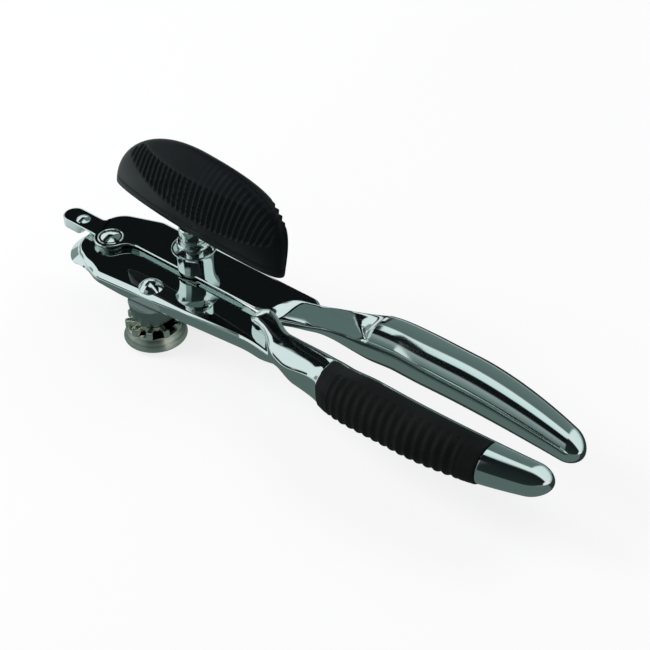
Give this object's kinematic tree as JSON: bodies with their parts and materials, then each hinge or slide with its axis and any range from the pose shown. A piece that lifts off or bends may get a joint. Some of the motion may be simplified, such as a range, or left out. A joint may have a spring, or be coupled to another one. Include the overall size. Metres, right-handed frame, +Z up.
{
  "type": "manual can opener",
  "caption": "Hand can opener with two pivoted plates, chrome handles, a ribbed rubber grip, a geared cutter and feed wheel, a turning knob and a bottle-opener ear.",
  "frame": {"origin": "on the line of the knob's axle, at the height of the lowest face, which is the riveted foot under the cutter", "axes": "+X towards the handle tips, +Y towards the upper arm, +Z up the knob's axle, at right angles to the plates"},
  "size_m": [0.2027, 0.0439, 0.07],
  "materials": {
    "plate_chrome": "bright chrome on pressed steel",
    "handle_chrome": "bright chrome on polished cast handles",
    "rivet_chrome": "bright chrome on domed heads, cup and axle",
    "gear_nickel": "nickel plate, fine machining marks",
    "cutter_steel": "ground steel with fine turned rings",
    "boss_satin": "satin turned steel",
    "small_steel": "plain plated steel",
    "grip_rubber": "dark matte rubber",
    "knob_band": "smooth dark plastic, slight sheen",
    "knob_rubber": "soft dark moulding with raised ribs"
  },
  "bodies": {
    "lower_arm": {"lower_plate": "plate_chrome", "lower_handle": "handle_chrome", "lower_tang_pins": "small_steel", "handle_grip": "grip_rubber", "pivot_rivet": "rivet_chrome", "pivot_washer": "small_steel", "cutter_boss": "boss_satin", "cutter_spacer": "small_steel", "cutter_stud": "rivet_chrome"},
    "cutter": {"cutter_gear": "gear_nickel", "cutter_wheel": "cutter_steel"},
    "upper_arm": {"upper_plate": "plate_chrome", "upper_handle": "handle_chrome", "upper_tang_pins": "small_steel", "axle_bush": "rivet_chrome", "bush_ring": "small_steel"},
    "drive": {"wave_washer": "small_steel", "drive_axle": "rivet_chrome", "drive_washer": "small_steel", "drive_gear": "gear_nickel", "feed_wheel": "small_steel", "feed_nut": "small_steel", "knob_core": "knob_band", "knob_cover": "knob_rubber", "knob_pin": "small_steel"}
  },
  "joints": [
    {"name": "arm_pivot", "type": "hinge", "parent": "lower_arm", "child": "upper_arm", "pos_m": [-0.0332, -0.0061, 0.0222], "axis": [0, 0, 1], "range_deg": [0, 35]},
    {"name": "knob_spin", "type": "hinge", "parent": "upper_arm", "child": "drive", "pos_m": [0, 0, 0.025], "axis": [0, 0, 1], "continuous": true},
    {"name": "cutter_spin", "type": "hinge", "parent": "lower_arm", "child": "cutter", "pos_m": [-0.00552, -0.01534, 0.006], "axis": [0, 0, 1], "continuous": true}
  ],
  "couplings": [
    {"joint": "cutter_spin", "follows": "knob_spin", "ratio": -1}
  ]
}
